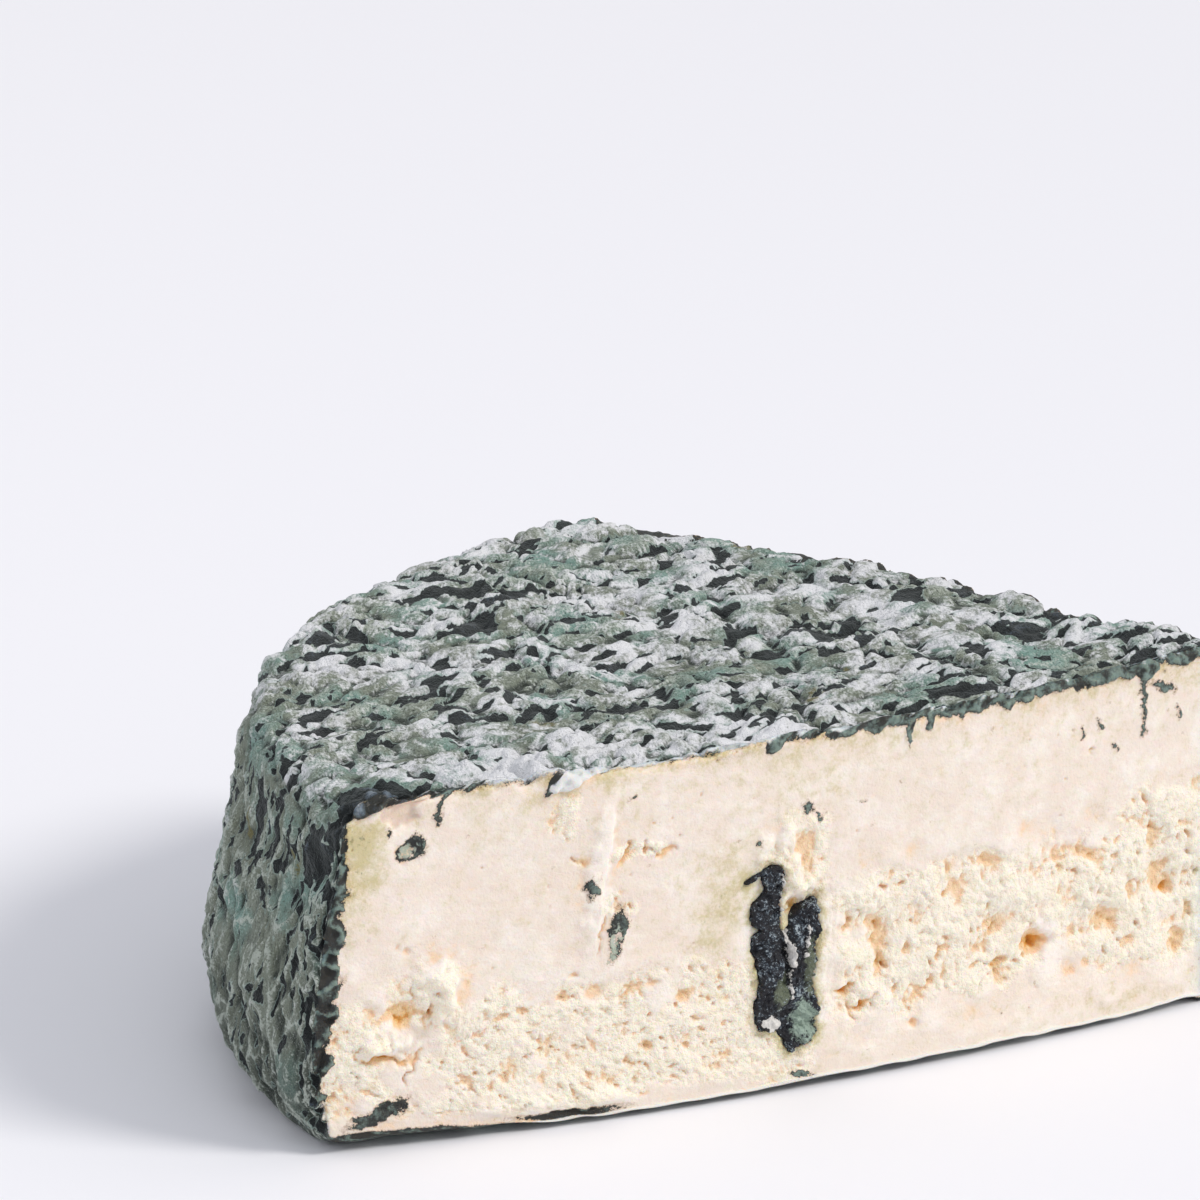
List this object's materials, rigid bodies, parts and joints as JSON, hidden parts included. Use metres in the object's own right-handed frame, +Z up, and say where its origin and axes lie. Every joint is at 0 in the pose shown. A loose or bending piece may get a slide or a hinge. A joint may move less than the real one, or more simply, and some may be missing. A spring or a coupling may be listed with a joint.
{
  "type": "blue cheese wedge",
  "caption": "Thick wedge of mould-ripened blue cheese: wrinkled grey-green rind on rim, top and underside, pale crumbly paste and a dark mould vein on the cut.",
  "frame": {"origin": "on the underside, at the middle of the outline box seen from above", "axes": "+Z up; the long cut face with the bare paste and the vein faces -Y; the rim of the wheel is on the -X side and round the back left; the thin end of the wedge points to +X"},
  "size_m": [0.1731, 0.1446, 0.0662],
  "materials": {
    "cheese": "matt, moist ivory paste on the cuts under a dry, velvety grey-green mould rind with white bloom"
  },
  "bodies": {
    "root": {"cheese_wedge": "cheese"}
  },
  "joints": []
}
